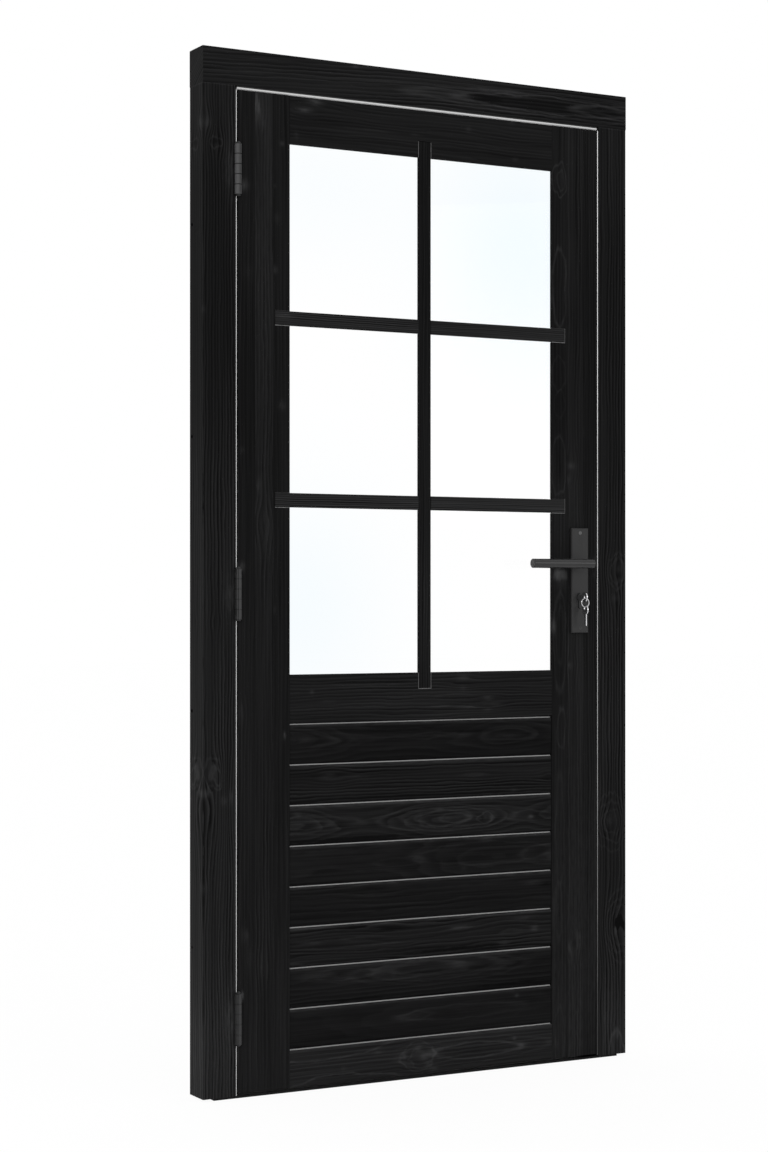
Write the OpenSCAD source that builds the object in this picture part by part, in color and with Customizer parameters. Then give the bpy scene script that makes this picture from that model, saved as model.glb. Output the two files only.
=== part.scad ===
// Glazed timber door leaf hung in its own timber frame, with three butt hinges and a lever lock.
// Sizes are millimetres. X runs along the wall, Y goes into the wall from the front, Z is up.
// The origin is on the floor, at the middle of the frame and of the leaf's thickness.

/* [Frame] */
// overall width over both jambs
frame_w = 1015; // [930:1:1200]
// overall height from the floor to the top of the head
frame_h = 2100; // [2020:1:2300]
// depth of the frame timber, front to back
frame_d = 65; // [60:1:90]
// width of a jamb's front face
jamb_face = 72; // [60:1:90]
// height of the head's front face
head_face = 73; // [60:1:90]
// how far the door stop stands into the opening
stop_w = 15; // [12:1:20]
// space between the shut leaf and the stop
stop_gap = 2; // [1:0.5:4]
// thickness of the threshold strip under the jambs
threshold_t = 4; // [3.5:0.5:6]
// distance from the frame's side to the end of the threshold strip
threshold_inset = 24; // [10:1:30]
// bevel on the outer edges of the timbers
arris = 1.5; // [0.8:0.1:2]

/* [Leaf] */
// thickness of the leaf
leaf_t = 40; // [38:1:48]
// gap between the leaf and each jamb
side_gap = 3.5; // [3:0.1:5]
// gap between the leaf and the head
top_gap = 8; // [4:0.5:10]
// gap between the leaf and the threshold strip
bottom_gap = 5; // [3:0.5:10]
// width of each stile
stile_w = 117; // [110:1:130]
// height of the top rail
top_rail_h = 98; // [80:1:140]
// height of the middle rail
middle_rail_h = 102; // [85:1:140]
// height of the bottom rail
bottom_rail_h = 75; // [65:1:140]
// thickness of a rail's tenon
tenon_t = 13; // [10:0.5:14]
// length of a rail's tenon
tenon_l = 45; // [25:1:60]

/* [Boards] */
// height from one board to the next
board_pitch = 82.5; // [70:0.5:88]
// thickness of a board
board_t = 20; // [18:0.5:24]
// how far the boards lie behind the stile faces
board_setback = 1.5; // [0.5:0.1:4]
// open joint between two boards
joint_gap = 4; // [2:0.5:6]
// thickness of a board's tongue
tongue_t = 7; // [5:0.5:8]
// length of tongue hidden in the next board
tongue_l = 8; // [5:0.5:10]
// gap between a board's end and the stile
end_gap = 1; // [0.5:0.1:2]

/* [Glazing] */
// thickness of the glass pane
glass_t = 4; // [3:0.5:6]
// width of a glazing bar
bar_w = 29; // [20:1:40]
// length of a bar's end let into the leaf
bar_lap = 33; // [15:1:45]
// thickness of a glazing bar
bar_t = 6.5; // [5.5:0.5:9]
// open line round a bar's let-in end
lap_gap = 1.2; // [0.6:0.1:2]
// width of the rebate that holds the glass
rebate_w = 24; // [16:0.5:26]
// thickness of a glazing bead behind the glass
bead_t = 10; // [8:0.5:16]
// setback of a glazing bead from the edge of the lip
bead_set = 6; // [0:0.5:8]

/* [Hinges] */
// height of a hinge
hinge_h = 102; // [80:1:120]
// outer diameter of the knuckles
knuckle_d = 14; // [12:0.5:16]
// diameter of the hinge pin's bore
pin_d = 7; // [5:0.5:8]
// thickness of a hinge leaf
hinge_t = 2; // [1.8:0.1:2.5]
// width of a hinge leaf from the pin's axis
hinge_leaf_w = 33; // [30:1:36]
// distance from the pin's axis to the front face
hinge_out = 7; // [6.5:0.1:9]
// height of the bottom hinge's middle above the leaf's bottom edge
hinge_low = 150.5; // [110:0.5:200]
// distance of the top hinge's middle below the leaf's top edge
hinge_high = 160.5; // [110:0.5:200]

/* [Lock] */
// height of the lever's axis above the floor
handle_z = 1075; // [1050:1:1150]
// distance from the leaf's edge to the lever's axis
backset = 49; // [45:1:55]
// distance from the lever's axis down to the lock cylinder
cylinder_drop = 72; // [70:0.5:80]
// width of a door plate
plate_w = 43; // [38:1:50]
// height of a door plate above the lever's axis
plate_up = 77.5; // [70:0.5:90]
// length of a door plate below the lever's axis
plate_down = 149; // [140:0.5:170]
// thickness of a door plate
plate_t = 8; // [7:0.5:10]
// diameter of the lever's bar
lever_d = 20; // [16:0.5:22]
// distance from the plate to the middle of the lever's bar
lever_out = 36; // [32:1:60]
// length of the lever from its axis to its free end
lever_l = 145; // [100:1:150]
// how far the lever's bar runs past its axis
lever_tail = 10; // [10:0.5:20]
// diameter of the knob inside
knob_d = 42; // [36:1:46]
// length of the knob inside
knob_l = 18; // [14:1:24]
// diameter of the lever's neck
neck_d = 16; // [13:0.5:17]
// how far the latch stands out of the leaf's edge
latch_out = 11; // [9:0.5:12]
// how far the dead bolt is thrown
bolt_throw = 20; // [12:0.5:20]

/* [Fixing] */
// diameter of the holes for the wall screws
fix_hole_d = 7; // [5:0.5:9]
// height of the lowest wall screw
fix_low = 300; // [250:5:330]
// distance of the highest wall screw below the head's top
fix_high = 350; // [300:5:390]
// distance from the middle of the frame's height to each inner wall screw
fix_mid = 275; // [200:5:320]

/* [Hidden] */
$fn = 64;
board_count = 8;
pane_rows = 3;
fit = 0.1;
half_w = frame_w / 2;
jamb_x = half_w - jamb_face;
stop_x = jamb_x - stop_w;
leaf_x = jamb_x - side_gap;
sight_x = leaf_x - stile_w;
front_y = -leaf_t / 2;
back_y = leaf_t / 2;
stop_y = back_y + stop_gap;
frame_back_y = front_y + frame_d;
head_z = frame_h - head_face;
leaf_z0 = threshold_t + bottom_gap;
leaf_z1 = head_z - top_gap;
panel_z0 = leaf_z0 + bottom_rail_h;
panel_z1 = panel_z0 + board_count * board_pitch;
glass_z0 = panel_z1 + middle_rail_h;
glass_z1 = leaf_z1 - top_rail_h;
pane_h = (glass_z1 - glass_z0 - (pane_rows - 1) * bar_w) / pane_rows;
bar_back_y = front_y + bar_t;
bar_half_y = (front_y + bar_back_y) / 2;
housing_y = bar_back_y + 0.3;
lip_y = bar_back_y + 0.6;
glass_y1 = lip_y + glass_t;
glass_cover = rebate_w - 4;
bead_bevel = 6;
bead_edge = 1.5;
board_y0 = front_y + board_setback;
board_y1 = board_y0 + board_t;
tongue_y0 = board_y0 + 4;
tongue_y1 = tongue_y0 + tongue_t;
tongue_end = joint_gap + tongue_l;
end_tongue = 9.5;
groove_play = 0.15;
shoulder = 15;
top_tenon = [glass_z1 + rebate_w + 4, leaf_z1 - shoulder];
middle_tenon = [panel_z1 + tongue_end + 8, glass_z0 - rebate_w - 6];
bottom_tenon = [leaf_z0 + shoulder, panel_z0 - 12];
seal_y0 = front_y + 2;
seal_y1 = seal_y0 + 7.5;
seal_clear = 0.6;
kerf_t = 2.3;
kerf_d = 5.5;
kerf_y = (seal_y0 + seal_y1) / 2;
pin_x = -(jamb_x - side_gap / 2);
pin_y = front_y - hinge_out;
hinge_room = 0.95;
hinge_y1 = pin_y + hinge_leaf_w;
knuckles = 5;
knuckle_h = hinge_h / knuckles;
hinge_z = [leaf_z0 + hinge_low, (leaf_z0 + hinge_low + leaf_z1 - hinge_high) / 2, leaf_z1 - hinge_high];
hinge_screw_z = 0.3725 * hinge_h;
hinge_screw_in = 7;
hinge_screw_step = 10;
cap_over = 1.5;
cap_h = 2;
cap_gap = 0.3;
cap_tip_h = 1.8;
spindle_x = leaf_x - backset;
cylinder_z = handle_z - cylinder_drop;
case_depth = backset + 31;
case_t = 15;
case_wall = 1.5;
case_play = 0.5;
bolt_play = 0.4;
forend_t = 3;
forend_w = 20;
case_z0 = cylinder_z - 43;
case_z1 = handle_z + 55;
forend_z0 = case_z0 - 20;
forend_z1 = case_z1 + 45;
case_x1 = leaf_x - forend_t;
case_x0 = leaf_x - forend_t - case_depth;
latch_z0 = handle_z + 12;
latch_z1 = handle_z + 40;
latch_half_t = 5.5;
bolt_z0 = cylinder_z + 18;
bolt_z1 = handle_z - 20;
bolt_half_t = 5;
hub_r = 10;
prong_r = 19;
prong_half_w = 3;
tail_x = spindle_x - 4.3;
tail_w = 6;
latch_x0 = case_x1 - 24;
latch_x1 = leaf_x + latch_out;
bolt_x0 = case_x1 - 41;
plate_y = front_y - plate_t;
lever_y = plate_y - lever_out;
cylinder_y = plate_y - 2;
cylinder_r = 8.5;
cylinder_foot_r = 5;
cylinder_foot_z = cylinder_z - 19.5;
cylinder_play = 0.4;
cylinder_screw_d = 5;
cylinder_screw_l = backset + 4;
cylinder_screw_head = 9;
cylinder_screw_z = cylinder_z - 20;
plug_r = 6.5;
cam_r = 15.5;
cam_half_t = 4.9;
cam_hub_r = 8;
cam_half_w = 4;
keyway_half_w = 1.15;
keyway_half_h = 4.15;
key_half_t = 1;
key_half_h = 4;
bow_half_t = 1.2;
bow_r = 11;
spare_bow_r = 10.5;
spindle_half = 4;
spindle_play = 0.06;
spindle_in = 14;
hole_round_lever_r = 11;
plate_edge = 2;
plate_wall = 3;
lever_boss_r = 13;
screw_boss_r = 7;
plate_screw_in = 10.5;
lever_bevel = 1;
knob_bevel = 3;
knob_y0 = back_y + plate_t + 9;
spindle_back_y = knob_y0 + knob_l / 2;
latch_bar_half_t = 2;
strike_z0 = bolt_z0 - 22;
strike_z1 = latch_z1 + 22;
strike_w = 20;
strike_t = 2;
key_hole_y = cylinder_y - 17.5;
key_hole_r = 3.5;
wire_r = 0.9;
ring_r = 9.4;
ring_top_z = cylinder_z - 2.5;
spare_hole_z = ring_top_z - 2 * ring_r - 2.5;
spare_tip_z = handle_z - cylinder_drop - (cylinder_drop - neck_d / 2 - 2.5);
small_d = 4;
small_l = 30;
small_head = 8;
plate_screw_l = 24;
plate_screw_head = 7.4;
long_d = 6;
long_l = 120;
long_head = 11;
long_x_top = half_w - jamb_face * 0.36;
long_x_low = half_w - threshold_inset - jamb_face / 3;
fix_y = (stop_y + frame_back_y) / 2;
timber = "#2a2a2b";
timber_edge = "#8f9092";
dark_metal = "#46474a";
steel = "#b9bcc0";

function unit(v) = v / norm(v);
function rect(a0, b0, a1, b1) = [[a0, b0], [a1, b0], [a1, b1], [a0, b1]];
function cut_corner(a, b, d, c) = c == 0 ? [b] : [b + c * unit(a - b), b + c * unit(d - b)];
function eased(p, c) = [for (i = [0:len(p) - 1])
  each cut_corner(p[(i + len(p) - 1) % len(p)], p[i], p[(i + 1) % len(p)], c[i])];
function level_bar_z(i) = glass_z0 + i * (pane_h + bar_w) - bar_w / 2;

// A straight length along X with its section drawn in Y and Z.
module beam_x(p, x0, x1) {
  translate([x0, 0, 0])
    rotate([90, 0, 90])
      linear_extrude(x1 - x0)
        polygon(p);
}

// A straight length along Z with its section drawn in X and Y.
module beam_z(p, z0, z1) {
  translate([0, 0, z0])
    linear_extrude(z1 - z0)
      polygon(p);
}

// A flat piece drawn in X and Z with its thickness along Y.
module slab_y(p, y0, y1) {
  translate([0, y1, 0])
    rotate([90, 0, 0])
      linear_extrude(y1 - y0)
        polygon(p);
}

module block(x0, y0, z0, x1, y1, z1) {
  translate([x0, y0, z0])
    cube([x1 - x0, y1 - y0, z1 - z0]);
}

module rod_x(r, x0, x1, y, z) {
  translate([x0, y, z])
    rotate([0, 90, 0])
      cylinder(r = r, h = x1 - x0);
}

module rod_y(r, y0, y1, x, z) {
  translate([x, y1, z])
    rotate([90, 0, 0])
      cylinder(r = r, h = y1 - y0);
}

module rod_z(r, z0, z1, x, y) {
  translate([x, y, z0])
    cylinder(r = r, h = z1 - z0);
}

// A countersunk wood screw with a hexagon socket, its head level with Z = 0 and its point down.
module wood_screw(d, l, head) {
  difference() {
    rotate_extrude()
      polygon([[0, 0], [head / 2, 0], [head / 2, -0.3], [d / 2, -0.3 - (head - d) / 2], [d / 2, d - l],
        [0, -l]]);
    translate([0, 0, -d * 0.4])
      cylinder(d = d * 0.65, h = d, $fn = 6);
  }
}

// The room that such a screw needs in the pieces that it goes through.
module screw_room(d, l, head) {
  r = d / 2 + 0.15;
  h = head / 2 + 0.15;
  rotate_extrude()
    polygon([[0, 3], [h, 3], [h, -0.3], [r, -0.3 - (head - d) / 2], [r, d - l], [0, -l - 0.4]]);
}

// Head screws and threshold screws, or the room for them.
module long_screws(room) {
  for (side = [-1, 1])
    for (y = [front_y + 28, frame_back_y - 11]) {
      translate([side * long_x_top, y, frame_h])
        long_screw(room);
      translate([side * long_x_low, y, 0])
        rotate([180, 0, 0])
          long_screw(room);
    }
}

module long_screw(room) {
  if (room)
    screw_room(long_d, long_l, long_head);
  else
    wood_screw(long_d, long_l, long_head);
}

module small_screw(room) {
  if (room)
    screw_room(small_d, small_l, small_head);
  else
    wood_screw(small_d, small_l, small_head);
}

// Section of the right-hand jamb, with its rebate and stop.
module jamb_blank() {
  beam_z(eased([[half_w, front_y], [half_w, frame_back_y], [stop_x, frame_back_y], [stop_x, stop_y],
    [jamb_x, stop_y], [jamb_x, front_y]], [arris, arris, arris, 1, 0, arris]), threshold_t, head_z);
}

// Wall screw holes and the seal's kerf in the right-hand jamb.
module jamb_cuts() {
  for (z = [fix_low, frame_h / 2 - fix_mid, frame_h / 2 + fix_mid, frame_h - fix_high]) {
    rod_x(fix_hole_d / 2, stop_x - 1, half_w + 1, fix_y, z);
    translate([stop_x - 0.5, fix_y, z])
      rotate([0, 90, 0])
        cylinder(r1 = fix_hole_d / 2 + 4, r2 = fix_hole_d / 2, h = 4);
  }
  block(jamb_x - 1, kerf_y - kerf_t / 2, threshold_t - 1, jamb_x + kerf_d, kerf_y + kerf_t / 2, head_z + 1);
}

module head() {
  color(timber)
    difference() {
      union() {
        beam_x(eased(rect(front_y, head_z, frame_back_y, frame_h), [0.8, 0.8, arris, arris]), -half_w,
          half_w);
        block(fit - stop_x, stop_y, head_z - stop_w, stop_x - fit, frame_back_y, head_z + 1);
      }
      block(-jamb_x, kerf_y - kerf_t / 2, head_z - 1, jamb_x, kerf_y + kerf_t / 2, head_z + kerf_d);
      long_screws(true);
    }
}

module lock_jamb() {
  color(timber)
    difference() {
      jamb_blank();
      jamb_cuts();
      block(jamb_x - 1, -strike_w / 2 - 0.15, strike_z0 - 0.15, jamb_x + strike_t, strike_w / 2 + 0.15,
        strike_z1 + 0.15);
      block(jamb_x, -8, latch_z0 - 3, jamb_x + latch_out + 4, 8, latch_z1 + 3);
      block(jamb_x, -8, bolt_z0 - 3, jamb_x + bolt_throw + 4, 8, bolt_z1 + 3);
      strike_screw_set(true);
      long_screws(true);
    }
}

module hinge_jamb() {
  color(timber)
    difference() {
      mirror([1, 0, 0])
        jamb_blank();
      mirror([1, 0, 0])
        jamb_cuts();
      for (z = hinge_z)
        block(pin_x - hinge_room - hinge_t, front_y - 1, z - hinge_h / 2 - 0.2, -jamb_x + 1,
          hinge_y1 + 0.2, z + hinge_h / 2 + 0.2);
      hinge_screw_set(-1, true);
      long_screws(true);
    }
}

module threshold() {
  color(dark_metal)
    difference() {
      beam_x(eased(rect(front_y, 0, frame_back_y, threshold_t), [0.5, 0.5, 0, 0.5]),
        threshold_inset - half_w, half_w - threshold_inset);
      long_screws(true);
    }
}

module head_seal() {
  color(timber_edge)
    union() {
      beam_x(eased(rect(seal_y0, leaf_z1 + seal_clear, seal_y1, head_z), [2, 2, 0, 0]), -leaf_x, leaf_x);
      block(-leaf_x, kerf_y - kerf_t / 2 + fit, head_z - 1, leaf_x, kerf_y + kerf_t / 2 - fit,
        head_z + kerf_d - 0.4);
    }
}

// A side seal on the right-hand jamb, from one height to another.
module seal_length(thick, z0, z1) {
  beam_z(eased(rect(jamb_x - thick, seal_y0, jamb_x, seal_y1), [thick / 3, 0, 0, thick / 3]), z0, z1);
  block(jamb_x - 1, kerf_y - kerf_t / 2 + fit, z0, jamb_x + kerf_d - 0.4, kerf_y + kerf_t / 2 - fit, z1);
}

module lock_side_seal() {
  color(timber_edge)
    seal_length(side_gap - 1.7, threshold_t + 1, leaf_z1);
}

module hinge_side_seal() {
  low = [threshold_t + 1, for (z = hinge_z) z + hinge_h / 2 + 1];
  high = [for (z = hinge_z) z - hinge_h / 2 - 1, leaf_z1];
  color(timber_edge)
    for (i = [0:len(low) - 1])
      mirror([1, 0, 0])
        seal_length(side_gap - seal_clear, low[i], high[i]);
}

module strike_screw_set(room) {
  for (z = [strike_z0 + 9, strike_z1 - 9])
    translate([jamb_x, 0, z])
      rotate([0, -90, 0])
        small_screw(room);
}

module strike_plate() {
  color(dark_metal)
    difference() {
      block(jamb_x, -strike_w / 2, strike_z0, jamb_x + strike_t, strike_w / 2, strike_z1);
      block(jamb_x - 1, -latch_half_t - 1, latch_z0 - 1.5, jamb_x + strike_t + 1, latch_half_t + 1,
        latch_z1 + 1.5);
      block(jamb_x - 1, -bolt_half_t - 1, bolt_z0 - 1.5, jamb_x + strike_t + 1, bolt_half_t + 1,
        bolt_z1 + 1.5);
      strike_screw_set(true);
    }
}

module strike_screws() {
  color(dark_metal)
    strike_screw_set(false);
}

module frame_screws() {
  color(steel)
    long_screws(false);
}

// Hinge screws on the frame's side (-1) or the leaf's side (1), or the room for them.
module hinge_screw_set(side, room) {
  for (z = hinge_z)
    for (step = [-1, 0, 1]) {
      y = hinge_y1 - hinge_screw_in - (step == 0 ? hinge_screw_step : 0);
      translate([pin_x + side * hinge_room, y, z + step * hinge_screw_z])
        rotate([0, -side * 90, 0])
          small_screw(room);
    }
}

// One half of a butt hinge: its leaf and every second knuckle.
module hinge_half(side, first, z) {
  z0 = z - hinge_h / 2;
  inner = pin_x + side * hinge_room;
  outer = pin_x + side * (hinge_room + hinge_t);
  difference() {
    union() {
      block(min(inner, outer), pin_y, z0, max(inner, outer), hinge_y1, z0 + hinge_h);
      for (k = [first:2:knuckles - 1])
        rod_z(knuckle_d / 2, z0 + k * knuckle_h + 0.2, z0 + (k + 1) * knuckle_h - 0.2, pin_x, pin_y);
    }
    for (k = [1 - first:2:knuckles - 1])
      rod_z(knuckle_d / 2 + 0.4, z0 + k * knuckle_h - 0.2, z0 + (k + 1) * knuckle_h + 0.2, pin_x, pin_y);
    rod_z(pin_d / 2, z0 - 1, z0 + hinge_h + 1, pin_x, pin_y);
    hinge_screw_set(side, true);
  }
}

module frame_hinge_leaf(i) {
  color(dark_metal)
    hinge_half(-1, 0, hinge_z[i]);
}

module door_hinge_leaf(i) {
  color(dark_metal)
    hinge_half(1, 1, hinge_z[i]);
}

module hinge_pins() {
  color(dark_metal)
    for (z = hinge_z) {
      top = z + hinge_h / 2 + cap_gap;
      low = z - hinge_h / 2 - cap_gap;
      rod_z(pin_d / 2 - 0.05, low - cap_h / 2, top + cap_h / 2, pin_x, pin_y);
      rod_z(pin_d / 2 + cap_over, top, top + cap_h, pin_x, pin_y);
      rod_z(pin_d / 2, top + cap_h / 2, top + cap_h + cap_tip_h, pin_x, pin_y);
      rod_z(pin_d / 2 + cap_over, low - cap_h, low, pin_x, pin_y);
    }
}

module frame_hinge_screws() {
  color(dark_metal)
    hinge_screw_set(-1, false);
}

module door_hinge_screws() {
  color(dark_metal)
    hinge_screw_set(1, false);
}

// The right-hand stile with its rebate, groove, mortises and bar housings.
module stile_blank() {
  difference() {
    beam_z(eased(rect(sight_x, front_y, leaf_x, back_y), [0.6, arris, arris, 0.6]), leaf_z0, leaf_z1);
    block(sight_x - 1, lip_y, glass_z0 - rebate_w, sight_x + rebate_w, back_y + 1, glass_z1 + rebate_w);
    block(sight_x - 1, tongue_y0 - groove_play, panel_z0, sight_x + end_tongue + 0.5,
      tongue_y1 + groove_play, panel_z1 + tongue_end + 0.5);
    for (t = [top_tenon, middle_tenon, bottom_tenon])
      block(sight_x - 1, -tenon_t / 2 - fit, t[0] - fit, sight_x + tenon_l + 0.5, tenon_t / 2 + fit,
        t[1] + fit);
    for (i = [1:pane_rows - 1]) {
      z0 = level_bar_z(i) - bar_w / 2 - lap_gap;
      z1 = level_bar_z(i) + bar_w / 2 + lap_gap;
      block(sight_x - 1, front_y - 1, z0, sight_x + bar_lap + lap_gap, housing_y, z1);
      block(sight_x - 1, front_y - 1, z0, sight_x + rebate_w, lip_y + 1, z1);
    }
  }
}

module hinge_stile() {
  color(timber)
    difference() {
      mirror([1, 0, 0])
        stile_blank();
      for (z = hinge_z)
        block(-leaf_x - 1, front_y - 1, z - hinge_h / 2 - 0.2, pin_x + hinge_room + hinge_t,
          hinge_y1 + 0.2, z + hinge_h / 2 + 0.2);
      hinge_screw_set(1, true);
    }
}

module lock_stile() {
  color(timber)
    difference() {
      stile_blank();
      block(case_x1 - 0.01, -forend_w / 2 - 0.15, forend_z0 - 0.15, leaf_x + 1, forend_w / 2 + 0.15,
        forend_z1 + 0.15);
      block(case_x0 - case_play, -case_t / 2 - case_play, case_z0 - case_play, case_x1 + 1,
        case_t / 2 + case_play, case_z1 + case_play);
      rod_y(hole_round_lever_r, front_y - 1, back_y + 1, spindle_x, handle_z);
      euro_room(1.5, front_y - 1, back_y + 1);
      forend_screw_set(true);
      plate_screw_set(true);
    }
}

// A length between the stiles with a tenon at each end.
module rail_blank(p, tenon) {
  beam_x(p, fit - sight_x, sight_x - fit);
  block(-sight_x - tenon_l, -tenon_t / 2, tenon[0], sight_x + tenon_l, tenon_t / 2, tenon[1]);
}

module top_rail() {
  color(timber)
    difference() {
      rail_blank(eased(rect(front_y, glass_z1, back_y, leaf_z1), [0.6, 0, arris, arris]), top_tenon);
      block(-sight_x - 1, lip_y, glass_z1 - 1, sight_x + 1, back_y + 1, glass_z1 + rebate_w);
      block(-bar_w / 2 - lap_gap, front_y - 1, glass_z1 - 1, bar_w / 2 + lap_gap, housing_y,
        glass_z1 + bar_lap + lap_gap);
      block(-bar_w / 2 - lap_gap, front_y - 1, glass_z1 - 1, bar_w / 2 + lap_gap, lip_y + 1,
        glass_z1 + rebate_w);
    }
}

module middle_rail() {
  color(timber)
    difference() {
      rail_blank(eased(rect(front_y, panel_z1 + joint_gap, back_y, glass_z0), [1, 1, 0, 0.6]),
        middle_tenon);
      block(-sight_x - 1, lip_y, glass_z0 - rebate_w, sight_x + 1, back_y + 1, glass_z0 + 1);
      block(-sight_x - 1, tongue_y0 - groove_play, panel_z1, sight_x + 1, tongue_y1 + groove_play,
        panel_z1 + tongue_end + 0.5);
      block(-bar_w / 2 - lap_gap, front_y - 1, glass_z0 - bar_lap - lap_gap, bar_w / 2 + lap_gap, housing_y,
        glass_z0 + 1);
      block(-bar_w / 2 - lap_gap, front_y - 1, glass_z0 - rebate_w, bar_w / 2 + lap_gap, lip_y + 1,
        glass_z0 + 1);
    }
}

module bottom_rail() {
  color(timber)
    union() {
      rail_blank(eased(rect(front_y, leaf_z0, back_y, panel_z0), [arris, arris, arris, 1]), bottom_tenon);
      block(end_gap - sight_x, tongue_y0, panel_z0 - 2, sight_x - end_gap, tongue_y1,
        panel_z0 + tongue_end);
    }
}

// A horizontal board, its tongue up and its groove down, with a tongue at each end for the stiles.
module panel_board(n) {
  z0 = panel_z0 + (board_count - n) * board_pitch;
  z1 = z0 + board_pitch;
  low = z0 + joint_gap;
  groove = low + tongue_l + 0.5;
  color(timber)
    union() {
      beam_x(eased([[board_y0, low], [board_y0, z1], [tongue_y0, z1], [tongue_y0, z1 + tongue_end],
        [tongue_y1, z1 + tongue_end], [tongue_y1, z1], [board_y1, z1], [board_y1, low],
        [tongue_y1 + groove_play, low], [tongue_y1 + groove_play, groove],
        [tongue_y0 - groove_play, groove], [tongue_y0 - groove_play, low]],
        [1, 1, 0, 0.5, 0.5, 0, 1, 1, 0, 0, 0, 0]), end_gap - sight_x, sight_x - end_gap);
      block(-sight_x - end_tongue, tongue_y0 + fit, groove + 1, sight_x + end_tongue, tongue_y1 - fit,
        z1 - 1);
    }
}

module glass_pane() {
  color("#cfe6ee", 0.4)
    block(-sight_x - glass_cover, lip_y, glass_z0 - glass_cover, sight_x + glass_cover, glass_y1,
      glass_z1 + glass_cover);
}

module glazing_bar_upright() {
  color(timber)
    difference() {
      beam_z(eased(rect(-bar_w / 2, front_y, bar_w / 2, bar_back_y), [0.8, 0.8, 0, 0]), glass_z0 - bar_lap,
        glass_z1 + bar_lap);
      for (i = [1:pane_rows - 1])
        block(-bar_w, bar_half_y, level_bar_z(i) - bar_w / 2 - 0.3, bar_w, bar_back_y + 1,
          level_bar_z(i) + bar_w / 2 + 0.3);
    }
}

// A level bar, halved over the upright one.
module level_bar(i) {
  z = level_bar_z(i);
  color(timber)
    difference() {
      beam_x(eased(rect(front_y, z - bar_w / 2, bar_back_y, z + bar_w / 2), [0.8, 0, 0, 0.8]),
        -sight_x - bar_lap, sight_x + bar_lap);
      block(-bar_w / 2 - 0.5, front_y - 1, z - bar_w, bar_w / 2 + 0.5, bar_half_y + fit, z + bar_w);
    }
}

// A glazing bead's section, from the sight line outward and from the glass to the leaf's back.
function bead_section(flip, base) = [for (p = [[bead_set, glass_y1 + fit], [rebate_w - fit, glass_y1 + fit],
  [rebate_w - fit, glass_y1 + bead_t], [bead_set + bead_bevel, glass_y1 + bead_t],
  [bead_set, glass_y1 + bead_edge]])
  [p[1], base + flip * p[0]]];

// A level bead, mitred at both ends.
module level_bead(flip, base) {
  color(timber)
    intersection() {
      beam_x(bead_section(flip, base), -sight_x - rebate_w, sight_x + rebate_w);
      slab_y([[fit - sight_x, base], [sight_x - fit, base],
        [sight_x + rebate_w - fit, base + flip * rebate_w],
        [fit - sight_x - rebate_w, base + flip * rebate_w]], lip_y, back_y + 1);
    }
}

// An upright bead on the right, mitred at both ends.
module upright_bead() {
  intersection() {
    beam_z([for (p = bead_section(1, sight_x)) [p[1], p[0]]], glass_z0 - rebate_w, glass_z1 + rebate_w);
    slab_y([[sight_x, glass_z0 + fit], [sight_x + rebate_w, glass_z0 - rebate_w + fit],
      [sight_x + rebate_w, glass_z1 + rebate_w - fit], [sight_x, glass_z1 - fit]], lip_y, back_y + 1);
  }
}

module glazing_bead_right() {
  color(timber)
    upright_bead();
}

module glazing_bead_left() {
  color(timber)
    mirror([1, 0, 0])
      upright_bead();
}

// The outline of the lock cylinder, larger by a margin, from one depth to another.
module euro_room(margin, y0, y1) {
  foot_r = cylinder_foot_r + margin;
  rod_y(cylinder_r + margin, y0, y1, spindle_x, cylinder_z);
  block(spindle_x - foot_r, y0, cylinder_foot_z, spindle_x + foot_r, y1, cylinder_z);
  rod_y(foot_r, y0, y1, spindle_x, cylinder_foot_z);
}

module forend_screw_set(room) {
  for (z = [forend_z0 + 8, forend_z1 - 8])
    translate([leaf_x, 0, z])
      rotate([0, 90, 0])
        small_screw(room);
}

module lock_case() {
  color(steel)
    difference() {
      union() {
        block(case_x0, -case_t / 2, case_z0, case_x1 + 0.5, case_t / 2 - case_wall, case_z1);
        block(case_x1, -forend_w / 2, forend_z0, leaf_x, forend_w / 2, forend_z1);
      }
      block(case_x0 + case_wall, case_wall - case_t / 2, case_z0 + case_wall, case_x1 - case_wall,
        case_t / 2, case_z1 - case_wall);
      block(case_x1 - 2 * case_wall, -latch_half_t - bolt_play, latch_z0 - bolt_play, leaf_x + 1,
        latch_half_t + bolt_play, latch_z1 + bolt_play);
      block(case_x1 - 2 * case_wall, -bolt_half_t - bolt_play, bolt_z0 - bolt_play, leaf_x + 1,
        bolt_half_t + bolt_play, bolt_z1 + bolt_play);
      rod_y(hub_r, -case_t, case_t, spindle_x, handle_z);
      euro_room(cylinder_play, -case_t, case_t);
      translate([leaf_x, 0, cylinder_screw_z])
        rotate([0, 90, 0])
          screw_room(cylinder_screw_d, cylinder_screw_l, cylinder_screw_head);
      forend_screw_set(true);
    }
}

module lock_cover() {
  color(steel)
    difference() {
      block(case_x0, case_t / 2 - case_wall, case_z0, case_x1, case_t / 2, case_z1);
      rod_y(hub_r, 0, case_t, spindle_x, handle_z);
      euro_room(cylinder_play, 0, case_t);
    }
}

module forend_screws() {
  color(steel)
    forend_screw_set(false);
}

module cylinder_screw() {
  color(steel)
    translate([leaf_x, 0, cylinder_screw_z])
      rotate([0, 90, 0])
        wood_screw(cylinder_screw_d, cylinder_screw_l, cylinder_screw_head);
}

// Screws through both door plates into the stile, or the room for them.
module plate_screw_set(room) {
  for (side = [-1, 1])
    for (z = [handle_z + plate_up - plate_screw_in, handle_z - plate_down + plate_screw_in])
      translate([spindle_x, side * (back_y + plate_t), z])
        rotate([-side * 90, 0, 0])
          plate_screw(room);
}

module plate_screw(room) {
  if (room)
    screw_room(small_d, plate_screw_l, plate_screw_head);
  else
    wood_screw(small_d, plate_screw_l, plate_screw_head);
}

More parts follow.
